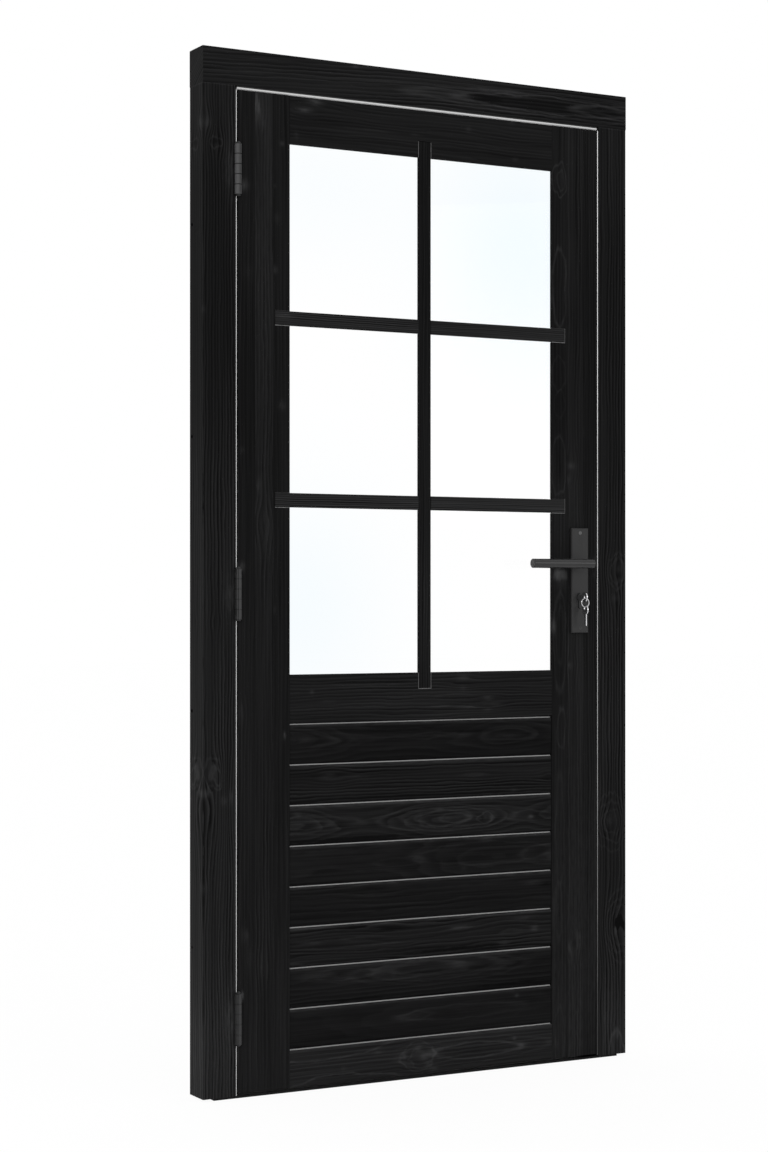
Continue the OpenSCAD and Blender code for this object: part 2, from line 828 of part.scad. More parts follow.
// A cast door plate for the front, hollow behind, with bosses for the lever, the cylinder and the screws.
module plate_blank() {
  x0 = spindle_x - plate_w / 2;
  x1 = spindle_x + plate_w / 2;
  z0 = handle_z - plate_down;
  z1 = handle_z + plate_up;
  difference() {
    intersection() {
      beam_z(eased(rect(x0, plate_y, x1, front_y), [plate_edge, plate_edge, 0, 0]), z0, z1);
      beam_x(eased(rect(plate_y, z0, front_y, z1), [plate_edge, 0, 0, plate_edge]), x0, x1);
    }
    difference() {
      block(x0 + plate_wall, plate_y + plate_wall, z0 + plate_wall, x1 - plate_wall, front_y + 1,
        z1 - plate_wall);
      rod_y(lever_boss_r, plate_y, front_y + 2, spindle_x, handle_z);
      euro_room(plate_wall + 0.5, plate_y, front_y + 2);
      for (z = [z1 - plate_screw_in, z0 + plate_screw_in])
        rod_y(screw_boss_r, plate_y, front_y + 2, spindle_x, z);
    }
    rod_y(neck_d / 2 + 0.06, plate_y - 1, front_y + 1, spindle_x, handle_z);
    euro_room(cylinder_play, plate_y - 1, front_y + 1);
    plate_screw_set(true);
  }
}

module front_plate() {
  color(dark_metal)
    plate_blank();
}

module back_plate() {
  color(dark_metal)
    mirror([0, 1, 0])
      plate_blank();
}

module plate_screws() {
  color(dark_metal)
    plate_screw_set(false);
}

module cylinder_body() {
  color(steel)
    difference() {
      euro_room(0, cylinder_y, -cylinder_y);
      rod_y(plug_r, cylinder_y - 1, 0, spindle_x, cylinder_z);
      rod_y(cam_r + 0.5, -cam_half_t - 0.3, cam_half_t + 0.3, spindle_x, cylinder_z);
      block(spindle_x - keyway_half_w, 12, cylinder_z - keyway_half_h, spindle_x + keyway_half_w,
        1 - cylinder_y, cylinder_z + keyway_half_h);
      translate([leaf_x, 0, cylinder_screw_z])
        rotate([0, 90, 0])
          screw_room(cylinder_screw_d, cylinder_screw_l, cylinder_screw_head);
    }
}

module follower() {
  color(steel)
    difference() {
      union() {
        rod_y(hub_r - 0.05, -case_t / 2 - 0.4, case_t / 2 + 0.4, spindle_x, handle_z);
        block(spindle_x - prong_half_w, -2.5, handle_z, spindle_x + prong_half_w, 2.5, handle_z + prong_r);
      }
      spindle_room(-case_t, case_t);
    }
}

// The square hole for the spindle, from one depth to another.
module spindle_room(y0, y1) {
  half = spindle_half + spindle_play;
  block(spindle_x - half, y0, handle_z - half, spindle_x + half, y1, handle_z + half);
}

module spindle() {
  color(steel)
    block(spindle_x - spindle_half, lever_y + spindle_in, handle_z - spindle_half, spindle_x + spindle_half,
      spindle_back_y, handle_z + spindle_half);
}

// The bevelled end of the lever's bar.
module lever_end(x, side) {
  translate([x, lever_y, handle_z])
    rotate([0, side * 90, 0])
      cylinder(r1 = lever_d / 2, r2 = lever_d / 2 - lever_bevel, h = lever_bevel);
}

// The front lever: a round bar on a neck that turns in the plate.
module front_lever() {
  color(dark_metal)
    difference() {
      union() {
        rod_y(neck_d / 2, lever_y, front_y - 0.5, spindle_x, handle_z);
        rod_x(lever_d / 2, spindle_x - lever_l + lever_bevel, spindle_x + lever_tail - lever_bevel, lever_y,
          handle_z);
        lever_end(spindle_x + lever_tail - lever_bevel, 1);
        lever_end(spindle_x - lever_l + lever_bevel, -1);
      }
      spindle_room(lever_y + spindle_in - 0.5, front_y + 1);
    }
}

// The knob on the inside, turned in one piece with its neck, on the same spindle as the lever.
module back_knob() {
  r = knob_d / 2;
  color(dark_metal)
    difference() {
      translate([spindle_x, 0, handle_z])
        rotate([-90, 0, 0])
          rotate_extrude()
            polygon([[0, back_y + 0.5], [neck_d / 2, back_y + 0.5], [neck_d / 2, knob_y0],
              [r - knob_bevel, knob_y0], [r, knob_y0 + knob_bevel], [r, knob_y0 + knob_l - knob_bevel],
              [r - knob_bevel, knob_y0 + knob_l], [0, knob_y0 + knob_l]]);
      spindle_room(back_y - 1, spindle_back_y + 0.5);
    }
}

module latch_bolt() {
  color(steel)
    union() {
      beam_z([[latch_x0, -latch_half_t], [latch_x1, -latch_half_t], [latch_x1, 2 - latch_half_t],
        [leaf_x + 1.5, latch_half_t], [latch_x0, latch_half_t]], latch_z0, latch_z1);
      block(tail_x - tail_w, -latch_bar_half_t, handle_z + prong_r + 1, latch_x0 + 1, latch_bar_half_t,
        handle_z + prong_r + tail_w);
      block(tail_x - tail_w, -latch_bar_half_t, handle_z + hub_r + 0.6, tail_x, latch_bar_half_t,
        handle_z + prong_r + 2);
    }
}

module dead_bolt() {
  color(steel)
    block(bolt_x0, -bolt_half_t, bolt_z0, leaf_x - 0.5, bolt_half_t, bolt_z1);
}

module cylinder_plug() {
  color(steel)
    difference() {
      union() {
        rod_y(plug_r - 0.05, cylinder_y - 0.4, 0, spindle_x, cylinder_z);
        rod_y(cam_hub_r, -cam_half_t, cam_half_t, spindle_x, cylinder_z);
        block(spindle_x - cam_half_w, -cam_half_t, cylinder_z - cam_r + 0.5, spindle_x + cam_half_w,
          cam_half_t, cylinder_z);
      }
      block(spindle_x - keyway_half_w, cylinder_y - 1, cylinder_z - keyway_half_h,
        spindle_x + keyway_half_w, -8, cylinder_z + keyway_half_h);
    }
}

// The key in the lock: blade, neck and round bow with a hole for the ring.
module key() {
  color(steel)
    difference() {
      union() {
        block(spindle_x - key_half_t, cylinder_y - 8, cylinder_z - key_half_h, spindle_x + key_half_t, -9,
          cylinder_z + key_half_h);
        rod_x(bow_r, spindle_x - bow_half_t, spindle_x + bow_half_t, key_hole_y + key_hole_r, cylinder_z);
      }
      rod_x(key_hole_r, spindle_x - 2, spindle_x + 2, key_hole_y, cylinder_z);
    }
}

module key_ring() {
  color(steel)
    translate([spindle_x, key_hole_y, ring_top_z - ring_r])
      rotate([90, 0, 0])
        rotate_extrude()
          translate([ring_r, 0])
            circle(r = wire_r, $fn = 24);
}

// The second key, hung on the ring with its blade down and cut along one edge.
module spare_key() {
  color(steel)
    difference() {
      union() {
        rod_x(spare_bow_r, spindle_x - bow_half_t, spindle_x + bow_half_t, key_hole_y,
          spare_hole_z - key_hole_r);
        block(spindle_x - key_half_t, key_hole_y - key_half_h, spare_tip_z, spindle_x + key_half_t,
          key_hole_y + key_half_h, spare_hole_z - spare_bow_r - 1.5);
      }
      rod_x(key_hole_r, spindle_x - 2, spindle_x + 2, key_hole_y, spare_hole_z);
      for (i = [0:3]) {
        notch = 2.2 + 0.5 * (i % 2);
        translate([spindle_x, key_hole_y + key_half_h, spare_tip_z + 3 + i * 4.5])
          rotate([45, 0, 0])
            cube([4 * key_half_t, notch, notch], center = true);
      }
    }
}

head();
hinge_jamb();
lock_jamb();
threshold();
head_seal();
hinge_side_seal();
lock_side_seal();
strike_plate();
strike_screws();
frame_screws();
frame_hinge_leaf(2);  // frame_hinge_leaf_top
frame_hinge_leaf(1);  // frame_hinge_leaf_middle
frame_hinge_leaf(0);  // frame_hinge_leaf_bottom
hinge_pins();
frame_hinge_screws();
hinge_stile();
lock_stile();
top_rail();
middle_rail();
bottom_rail();
panel_board(1);  // panel_board_1
panel_board(2);  // panel_board_2
panel_board(3);  // panel_board_3
panel_board(4);  // panel_board_4
panel_board(5);  // panel_board_5
panel_board(6);  // panel_board_6
panel_board(7);  // panel_board_7
panel_board(8);  // panel_board_8
glass_pane();
glazing_bar_upright();
level_bar(2);  // glazing_bar_upper
level_bar(1);  // glazing_bar_lower
level_bead(1, glass_z1);  // glazing_bead_top
level_bead(-1, glass_z0);  // glazing_bead_bottom
glazing_bead_left();
glazing_bead_right();
door_hinge_leaf(2);  // door_hinge_leaf_top
door_hinge_leaf(1);  // door_hinge_leaf_middle
door_hinge_leaf(0);  // door_hinge_leaf_bottom
door_hinge_screws();
lock_case();
lock_cover();
forend_screws();
front_plate();
back_plate();
plate_screws();
cylinder_body();
cylinder_screw();
follower();
spindle();
front_lever();
back_knob();
latch_bolt();
dead_bolt();
cylinder_plug();
key();
key_ring();
spare_key();
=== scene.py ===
import math

import bmesh
import bpy
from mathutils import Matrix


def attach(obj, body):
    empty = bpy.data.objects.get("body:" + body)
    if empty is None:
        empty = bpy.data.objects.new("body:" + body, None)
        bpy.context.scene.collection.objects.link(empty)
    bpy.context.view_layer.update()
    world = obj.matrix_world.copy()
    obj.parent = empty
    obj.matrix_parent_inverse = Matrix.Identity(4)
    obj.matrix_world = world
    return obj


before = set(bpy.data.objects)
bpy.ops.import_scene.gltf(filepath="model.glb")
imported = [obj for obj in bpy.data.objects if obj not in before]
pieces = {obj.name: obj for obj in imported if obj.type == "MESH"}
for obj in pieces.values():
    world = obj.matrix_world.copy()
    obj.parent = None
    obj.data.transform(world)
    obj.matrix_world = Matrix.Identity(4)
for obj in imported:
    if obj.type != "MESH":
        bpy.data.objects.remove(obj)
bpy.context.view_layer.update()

# Camera: the door is seen from its hinge side, at about the height of the lever, through
# a long lens held level, so that the upright timbers stay upright in the picture.
picture_height = 1152
horizon_below_middle = 22
view_turn = -28.792
scene = bpy.context.scene
lens = bpy.data.cameras.new("camera")
lens.sensor_width = 36
lens.lens = 73.843
lens.shift_y = horizon_below_middle / picture_height
camera = bpy.data.objects.new("camera", lens)
camera.location = (-2.4527, -4.3056, 1.0013)
camera.rotation_euler = (math.radians(90), 0, math.radians(view_turn))
scene.collection.objects.link(camera)
scene.camera = camera
scene.view_settings.view_transform = "Standard"


# Studio: a pale floor, an even white room and two soft boxes in front of the door. Floor and
# room look white in the picture, and the floor keeps only a faint shadow of the door.
def feed(node, sockets):
    """Links a node's sockets to wires, or sets them to plain values."""
    for name, value in sockets.items():
        if isinstance(value, Wire):
            value.tree.links.new(value.socket, node.inputs[name])
        else:
            node.inputs[name].default_value = value


class Wire:
    """An output of a shader node: sums on it add Math nodes, and node() adds any other node."""

    def __init__(self, tree, socket=None):
        self.tree = tree
        self.socket = socket

    def node(self, kind, settings=None, sockets=None, output=0):
        made = self.tree.nodes.new("ShaderNode" + kind)
        for name, value in (settings or {}).items():
            setattr(made, name, value)
        feed(made, sockets or {})
        return Wire(self.tree, made.outputs[output])

    def output(self, name):
        return Wire(self.tree, self.socket.node.outputs[name])

    def math(self, operation, *values):
        return self.node("Math", {"operation": operation}, dict(enumerate(values)))

    def __add__(self, other):
        return self.math("ADD", self, other)

    def __sub__(self, other):
        return self.math("SUBTRACT", self, other)

    def __rsub__(self, other):
        return self.math("SUBTRACT", other, self)

    def __mul__(self, other):
        return self.math("MULTIPLY", self, other)

    def __truediv__(self, other):
        return self.math("DIVIDE", self, other)

    def __pow__(self, other):
        return self.math("POWER", self, other)

    def __rpow__(self, other):
        return self.math("POWER", other, self)

    __radd__ = __add__
    __rmul__ = __mul__


def grey(tone):
    return (tone, tone, tone, 1)


def new_finish(name):
    """A new material, its shader, and the place on the piece at rest in metres."""
    material = bpy.data.materials.new(name)
    material.use_nodes = True
    tree = material.node_tree
    return material, tree.nodes["Principled BSDF"], Wire(tree).node("TexCoord", output="Object")


def seen_directly(start):
    """1 for rays that show the background: straight, in a polished surface or through glass."""
    path = start.node("LightPath", output="Is Camera Ray")
    shown = path.math("MAXIMUM", path, path.output("Is Glossy Ray"))
    return path.math("MAXIMUM", shown, path.output("Is Transmission Ray"))


room = bpy.data.worlds.new("room")
room.use_nodes = True
feed(room.node_tree.nodes["Background"], {"Color": grey(1), "Strength": 1.0})
scene.world = room

floor_half = 30
floor_drop = 0.0005
white_share = 0.94
corners = ((-1, -1), (1, -1), (1, 1), (-1, 1))
floor_mesh = bpy.data.meshes.new("floor")
floor_mesh.from_pydata([(x * floor_half, y * floor_half, 0) for x, y in corners], [], [(0, 1, 2, 3)])
floor = bpy.data.objects.new("floor", floor_mesh)
floor.location.z = -floor_drop
scene.collection.objects.link(floor)
floor_finish, floor_shader, place = new_finish("pale_floor")
feed(floor_shader, {"Base Color": grey(0.96), "Roughness": 0.9, "Specular IOR Level": 0.1})
white = place.node("Emission", sockets={"Color": grey(1), "Strength": 1.0})
base = Wire(place.tree, floor_shader.outputs[0])
mixed = place.node("MixShader", sockets={0: seen_directly(place) * white_share, 1: base, 2: white})
feed(place.tree.nodes["Material Output"], {"Surface": mixed})
floor_mesh.materials.append(floor_finish)

for name, stand, turn, side, power in (
        ("soft_box_left", (-3.4, -4.6, 2.9), (66, 0, -38), 1.4, 45),
        ("soft_box_right", (3.2, -4.2, 2.0), (78, 0, 40), 1.4, 15)):
    soft_box = bpy.data.lights.new(name, "AREA")
    soft_box.size = side
    soft_box.energy = power
    lamp = bpy.data.objects.new(name, soft_box)
    lamp.location = stand
    lamp.rotation_euler = [math.radians(angle) for angle in turn]
    scene.collection.objects.link(lamp)


def dress(name, material):
    pieces[name].material_slots[0].material = material


def millimetres(place):
    split = place.node("SeparateXYZ", sockets={0: place})
    return [split.output(axis) * 1000 for axis in "XYZ"]


def blend(share, low, high):
    """A colour between two others. Sockets 6 and 7 and output 2 of a Mix node are its colours."""
    return share.node("Mix", {"data_type": "RGBA"}, {0: share, 6: low, 7: high}, 2)


def speckle(place, scale, detail=3.0):
    return place.node("TexNoise", sockets={"Vector": place, "Scale": scale, "Detail": detail})


def cloud(u, v, seed, length, width, detail=2.0):
    """Soft unevenness about 0, drawn out along the grain."""
    spot = u.node("CombineXYZ", sockets={0: u / length, 1: v / width, 2: seed})
    return speckle(spot, scale=1.0, detail=detail) - 0.5


def bell(distance):
    """1 at no distance, falling softly to 0."""
    return math.exp(-1) ** (distance ** 2)


def hill(u, v, along, across, length, width):
    """A soft oval hill, 1 in its middle."""
    return math.exp(-1) ** (((u - along) / length) ** 2 + ((v - across) / width) ** 2)


def year_rings(u, v, side, seed, pitch, heart, arches, sharp, waver):
    """Rings about 0 that pale slowly and then drop to dark, no two of them equally strong."""
    drop = 12
    radius = side
    if heart:
        across, depth = heart
        for along, length, rise in arches:
            depth = depth - bell((u - along) / length) * rise
        radius = ((side - across) ** 2 + depth ** 2) ** 0.5
    slow_drift = cloud(u, v, seed, length=330, width=60) * (2 * waver)
    quick_drift = cloud(u, v, seed + 3.1, length=60, width=14, detail=3.0) * 0.8
    rings = radius / pitch + (slow_drift + quick_drift)
    share = rings.math("FRACT", rings)
    year = rings.math("FLOOR", rings) + seed
    strength = year.node("TexWhiteNoise", {"noise_dimensions": "1D"}, {"W": year})
    mean = 1 / (sharp + 1) - 1 / (sharp + drop + 1)
    line = share ** sharp * (1 - share ** drop) - mean
    patchy = cloud(u, v, seed + 7.7, length=260, width=40) * 2.2
    return line * (strength * 1.1 + 0.35 + patchy)


def outlines(u, v, loops, blunt):
    """Thin oval lines where single year rings come up to the face."""
    half_line = 1.5
    lines = 0.0
    for along, across, length, width, amount in loops:
        reach = u.math("ABSOLUTE", u - along) / length
        away = (reach ** blunt + ((v - across) / width) ** 2) ** 0.5 - 1
        lines = lines + bell(away * (width / half_line)) * amount
    return lines


def figure(u, v, seed, pitch, contrast, heart=None, arches=(), knots=(), marks=(), loops=(), fields=(),
           broad=(), blunt=1.5, sharp=2.0, waver=1.2):
    """Brightness of stained softwood about 1, with u along the grain and v across it in millimetres.

    Without a heart the year rings show as straight lines. A heart (across, depth) is the log's middle
    below the face, and an arch (along, half length, rise) lifts it nearer, which closes the rings to
    ovals and arrows. Knots, marks, loops and fields are (along, across, half length, half width, amount):
    a knot parts the lines, a mark is a soft spot, a loop is one ring's outline with ends as blunt as told,
    and a field is an even oval with a firm edge. A broad (along, half length, amount) makes a stretch of
    the length paler or darker; on the jambs and stiles these stretches are painted light and shade along
    the height, mostly paler near the floor. Each cloud adds its own number to the seed, so that no two
    of them run alike.
    of them run alike.
    """
    side = v
    for along, across, length, width, push in knots:
        side = side - (side - across) * hill(u, v, along, across, length, width) * push
    tone = 1.0 + year_rings(u, v, side, seed, pitch, heart, arches, sharp, waver) * contrast
    fibres = cloud(u, v, seed + 11.3, length=300, width=3.0, detail=5.0) * 1.5
    shades = cloud(u, v, seed + 17.9, length=420, width=34) * 0.8
    tone = tone + fibres + shades
    if loops or fields:
        bent = side + cloud(u, v, seed + 29.0, length=60, width=18, detail=3.0) * 16
        shifted = u + cloud(u, v, seed + 37.0, length=46, width=12) * 34
    if loops:
        broken = 1 + cloud(u, v, seed + 31.0, length=60, width=12) * 2.4
        tone = tone + outlines(shifted, bent, loops, blunt) * broken
    for along, across, length, width, amount in fields:
        reach = ((shifted - along) / length) ** 2 + ((bent - across) / width) ** 2
        tone = tone + math.exp(-1) ** (reach ** 3) * amount
    if marks:
        ragged = 0.9 + cloud(u, v, seed + 23.0, length=22, width=4, detail=3.0) * 2.6
        tone = tone + sum(hill(u, v, *spot) * amount for *spot, amount in marks) * ragged
    return tone * sum((bell((u - along) / length) * amount for along, length, amount in broad), 1.0)


def inside(places, box):
    """1 within a box given as (low, high) along x, y and z in millimetres."""
    x, y, z = (
        along.math("COMPARE", along, (low + high) / 2, (high - low) / 2)
        for along, (low, high) in zip(places, box))
    return x * y * z


def stained(name, tone, brightness, bare=None, bare_tone=0.18):
    """Black stain on softwood: brightness(x, y, z) is the figure, and bare is a box left in pale primer."""
    darkest = 0.35
    palest = 0.06
    blue = 1.02
    material, shader, place = new_finish(name)
    places = millimetres(place)
    bright = brightness(*places)
    bright = bright.math("MAXIMUM", bright, darkest)
    colour = blend(bright * (tone / palest), grey(0), (palest, palest, palest * blue, 1))
    if bare:
        colour = blend(inside(places, bare), colour, grey(bare_tone))
    raised = place.node("Bump", sockets={"Strength": 0.2, "Distance": 0.0003, "Height": bright})
    feed(shader, {"Base Color": colour, "Roughness": 0.66 - bright * 0.1, "Normal": raised,
                  "Specular IOR Level": 0.02})
    return material


front_face = -20
side_slant = 0.7
head_slope = 0.055
head_loops = [
    (560, 2060, 186, 18, 1.2), (560, 2060, 130, 9, 0.7), (310, 2060, 222, 18, 1.2),
    (350, 2060, 380, 25, 0.6)]
head_fields = [(35, 2060, 92, 14, 0.32), (290, 2060, 205, 13, -0.35), (140, 2060, 46, 12.5, -0.5)]
head_marks = [
    (384, 2066, 16, 4, 0.9), (-164, 2103, 7, 3, 1.2), (-380, 2107, 60, 1.6, 0.6), (-60, 2076, 60, 2, 0.5),
    (-420, 2078, 90, 6, 0.25), (450, 2060, 50, 4, -0.4), (180, 2080, 90, 5, 0.8),
    (330, 2042, 160, 2.5, 0.6)]


def head_grain(x, y, z):
    """The grain climbs towards the middle and lies level right of it."""
    climb = x.math("MINIMUM", x, 0.0) * head_slope
    return figure(
        x, z + (y - front_face) * side_slant - climb, seed=1.7, pitch=8.0, contrast=1.3, waver=0.6,
        loops=head_loops, fields=head_fields, marks=head_marks,
        broad=[(-300, 250, -0.04), (440, 130, -0.28)])


dress("head", stained("stain_head", 0.0092, head_grain))


# Jambs: the two upright sides of the frame, planed softwood with a rebate for the leaf,
# stained black. Both have knots, and the right one a black knot hole at its edge.
def upright_grain(seed, pitch, contrast, **more):
    """The figure of a timber that stands upright."""
    return lambda x, y, z: figure(z, x + (y - front_face) * side_slant, seed, pitch, contrast, **more)


# On both jambs the broad stretches are painted light and shade along the height: paler near the floor,
# darker higher up.
dress("hinge_jamb", stained("stain_hinge_jamb", 0.0086, upright_grain(
    seed=4.2, pitch=7.0, contrast=1.7, sharp=1.4,
    broad=[(0, 420, 0.5), (820, 260, 0.12), (1580, 300, -0.4)],
    loops=[(646, -486, 16, 9, 0.7), (650, -488, 30, 17, 0.6), (1911, -478, 10, 9, 0.6)],
    knots=[(1911, -478, 24, 16, 0.8), (1952, -506, 30, 18, 0.9), (955, -480, 18, 12, 0.6),
           (648, -486, 34, 16, 0.8), (585, -460, 90, 30, -0.9), (420, -505, 20, 10, 0.6)],
    marks=[(1948, -500, 12, 8, 1.1), (1911, -479, 6, 7, -0.5), (650, -484, 10, 4, 0.9),
           (612, -501, 9, 7, 1.3), (596, -462, 9, 7, 0.9), (604, -446, 16, 4, 0.8), (425, -502, 9, 4, 0.8),
           (1858, -446, 44, 13, 1.5), (1010, -446, 44, 13, 1.2), (158, -446, 52, 13, 1.4),
           (1575, -506, 8, 5, 0.7), (90, -480, 120, 40, 0.25), (2026.5, -470, 1.4, 80, 0.9)])))
dress("lock_jamb", stained("stain_lock_jamb", 0.0078, upright_grain(
    seed=9.6, pitch=8.0, contrast=2.0, waver=1.3, sharp=1.4,
    broad=[(0, 170, 0.55), (720, 260, 0.14), (1620, 380, -0.24)],
    fields=[(290, 502, 13, 9, -3.0)],
    loops=[(285, 504, 44, 26, 0.5), (285, 504, 62, 38, 0.6), (285, 504, 84, 50, 0.5),
           (1060, 486, 26, 12, 0.5), (1060, 486, 38, 22, 0.5), (0, 482, 58, 20, 1.3),
           (515, 472, 26, 20, 0.4), (512, 470, 44, 34, 0.5), (510, 468, 62, 46, 0.4)],
    knots=[(1062, 488, 36, 26, 0.9), (1000, 480, 20, 14, 0.7), (515, 468, 30, 26, 0.95),
           (285, 506, 60, 40, 0.9)],
    marks=[(1066, 490, 12, 10, 0.7), (1000, 480, 8, 10, 0.7), (518, 466, 14, 14, 0.7),
           (274, 480, 14, 4, 1.1), (48, 484, 10, 4, 1.2), (20, 474, 26, 3, 0.8), (20, 494, 26, 3, 0.8),
           (85, 480, 50, 22, 0.3), (90, 452, 90, 4, 0.6), (2026.5, 470, 1.4, 80, 0.9)])))


# Threshold strip: a thin dark anodised flat screwed up into the feet of both jambs.
# Its colour is even, with a faint speckle and slightly duller patches.
def coated(name, tone, rough, specular, metallic=0.0, darkening=None):
    """A faintly speckled metal finish. The last argument, a function of x, y and z in millimetres, is 1
    where the colour is painted darker and the finish duller.
    """
    material, shader, place = new_finish(name)
    speck = speckle(place, scale=900.0)
    patch = speckle(place, scale=14.0)
    dark = (tone * 0.75, tone * 0.75, tone * 0.76, 1)
    light = (tone * 1.25, tone * 1.25, tone * 1.27, 1)
    colour = blend((speck - 0.5) * 0.35 + (patch - 0.5) * 0.5 + 0.5, dark, light)
    dull = rough + (patch - 0.5) * 0.12
    if darkening:
        painted_dark = darkening(*millimetres(place))
        painted_dark = painted_dark.math("MINIMUM", painted_dark, 1.0)
        colour = blend(painted_dark, colour, grey(0.003))
        dull = dull + painted_dark * 0.4
    raised = place.node("Bump", sockets={"Strength": 0.12, "Distance": 0.0002, "Height": speck})
    feed(shader, {"Base Color": colour, "Roughness": dull, "Normal": raised,
                  "Specular IOR Level": specular, "Metallic": metallic})
    return material


dress("threshold", coated("dark_strip", tone=0.009, rough=0.6, specular=0.05))


# Seals: black rubber strips pushed into kerfs in the head and the jambs, each with a pale soft
# lip that shows as a light line round the leaf, duller on the lock side towards the floor.
def rubber(name, axis, low, high, top_tone, low_tone):
    """Black rubber with a pale lip between two places along an axis, in millimetres."""
    fade_low, fade_high = 100, 1450
    material, shader, place = new_finish(name)
    places = dict(zip("XYZ", millimetres(place)))
    # The lip goes from its top tone down to its low tone towards the floor, with a ragged edge to the fade.
    ragged_fade = speckle(place, scale=35.0, detail=4.0) - 0.5
    share = (places["Z"] - fade_low) / (fade_high - fade_low) + ragged_fade * 0.2
    share = share.math("MINIMUM", share.math("MAXIMUM", share, 0.0), 1.0) ** 1.2
    lip = share.math("COMPARE", places[axis], (low + high) / 2, (high - low) / 2)
    colour = blend(lip, grey(0.03), blend(share, grey(low_tone), grey(top_tone)))
    feed(shader, {"Base Color": colour, "Roughness": 0.7, "Specular IOR Level": 0.1})
    return material


dress("head_seal", rubber(
    "lip_head", "Z", low=2016, high=2024.2, top_tone=0.55, low_tone=0.55))
dress("hinge_side_seal", rubber(
    "lip_hinge_side", "X", low=-434.2, high=-430, top_tone=0.92, low_tone=0.86))
dress("lock_side_seal", rubber(
    "lip_lock_side", "X", low=433.9, high=435.3, top_tone=0.95, low_tone=0.07))


# Stiles: the leaf's two uprights, each glued up from three lamellas of differing grain and
# stained black. They are grooved for the boards and housed for the bars' ends.
def glued(joints, lamellas, gains):
    """Three figures side by side, each with its own brightness, parted at the glue lines."""
    def brightness(x, y, z):
        tones = [lamella(x, y, z) * gain for lamella, gain in zip(lamellas, gains)]
        tone = tones[0]
        for edge, other in zip(joints, tones[1:]):
            tone = tone + (other - tone) * x.math("GREATER_THAN", x, edge)
        return tone
    return brightness


# In every lamella of both stiles the broad stretches are painted light and shade along the height, mostly
# paler near the floor; on the lock stile the long marks about 250 mm up add to the paler foot.
hinge_outer = upright_grain(
    seed=14.1, pitch=9.0, contrast=0.8,
    broad=[(0, 420, 0.6), (750, 260, 0.15), (1400, 230, -0.2)],
    knots=[(320, -412, 34, 16, 0.9), (770, -426, 34, 14, 0.8)],
    marks=[(1829, -419, 11, 9, 3.0), (1298, -423, 6, 6, 0.8), (1064, -423, 9, 7, 2.2),
           (772, -426, 22, 7, 0.5), (325, -415, 14, 8, 0.8), (204, -421, 8, 2.5, 4.0),
           (280, -405, 26, 8, 0.4), (1655, -408, 18, 10, 0.35)])
hinge_middle = upright_grain(
    seed=15.7, pitch=8.0, contrast=1.5,
    broad=[(0, 150, 0.22), (1430, 200, -0.14)],
    knots=[(1150, -374, 46, 22, 0.9), (1985, -386, 44, 16, 0.9), (258, -372, 40, 16, 0.8)],
    marks=[(1994, -389, 22, 7, 2.7), (1965, -380, 26, 10, 0.7), (1140, -370, 50, 16, 0.5),
           (1600, -373, 600, 30, 0.32), (262, -378, 26, 9, 0.5), (1228, -385, 14, 6, 0.6)])
hinge_inner = upright_grain(
    seed=16.9, pitch=9.5, contrast=0.6,
    broad=[(0, 420, 0.55), (1400, 260, -0.1)],
    marks=[(1920, -333, 5, 5, 1.4), (1768, -344, 10, 7, 0.6), (1664, -348, 8, 6, 1.2),
           (1391, -332, 9, 8, 1.4), (978, -350, 8, 4, 0.7), (723, -327, 7, 3, 2.5),
           (1833, -349, 4, 3, 0.8)])
dress("hinge_stile", stained("stain_hinge_stile", 0.0076, glued(
    joints=(-393, -353), lamellas=(hinge_outer, hinge_middle, hinge_inner), gains=(0.86, 1.1, 0.86))))

lock_inner = upright_grain(
    seed=21.3, pitch=9.0, contrast=0.5, blunt=2.8,
    broad=[(0, 150, 0.35), (1150, 120, 0.25), (1440, 150, -0.18), (1980, 100, 0.25)],
    # The field near 1051 mm and the marks near 1044 and 1054 mm, beside the plate, are a painted reflection
    # of the lever on the stile.
    fields=[(1051, 338, 13, 18, 2.6)],
    loops=[(1902, 335, 38, 17, 0.9), (1900, 337, 22, 9, 0.6), (1671, 334, 82, 17, 1.0),
           (1485, 334, 36, 17, 0.55), (1420, 334, 30, 14, 0.4), (1287, 334, 62, 16, 0.8),
           (905, 335, 105, 14, 0.8), (920, 335, 60, 8, 0.4), (720, 338, 42, 10, 0.8),
           (500, 336, 120, 10, 0.5), (330, 334, 60, 9, 0.4), (60, 334, 60, 12, 0.5)],
    marks=[(1905, 338, 24, 8, 0.3), (1290, 334, 36, 8, -0.25), (940, 320, 14, 5, 2.8),
           (1054, 330, 10, 12, 2.4), (1044, 338, 22, 17, 1.1), (330, 320, 40, 5, 0.5),
           (45, 325, 14, 6, 0.5), (1290, 334, 46, 9, -0.15), (260, 335, 330, 40, 0.6)])
lock_middle = upright_grain(
    seed=22.9, pitch=7.5, contrast=1.3,
    broad=[(0, 150, 0.35), (860, 240, 0.45), (1170, 90, 0.2), (1980, 100, 0.2)],
    knots=[(1287, 364, 34, 18, 0.95), (255, 370, 34, 18, 0.95), (855, 362, 20, 12, 0.8)],
    marks=[(1287, 364, 7, 12, 1.0), (1258, 358, 12, 5, 0.6), (258, 384, 22, 5, 1.4),
           (238, 362, 18, 5, 1.5), (255, 374, 8, 5, -0.4), (855, 360, 8, 6, 0.9),
           (1250, 372, 90, 20, 0.25), (250, 375, 330, 40, 0.75)])
lock_outer = upright_grain(
    seed=24.4, pitch=7.0, contrast=1.0,
    broad=[(700, 300, 0.13), (1150, 90, 0.12), (1520, 280, -0.26)],
    knots=[(1075, 424, 26, 14, 0.9)],
    marks=[(1085, 424, 8, 6, 0.7), (1052, 424, 7, 6, 0.6), (1360, 396, 12, 4, 0.4),
           (250, 415, 330, 40, 0.6)])
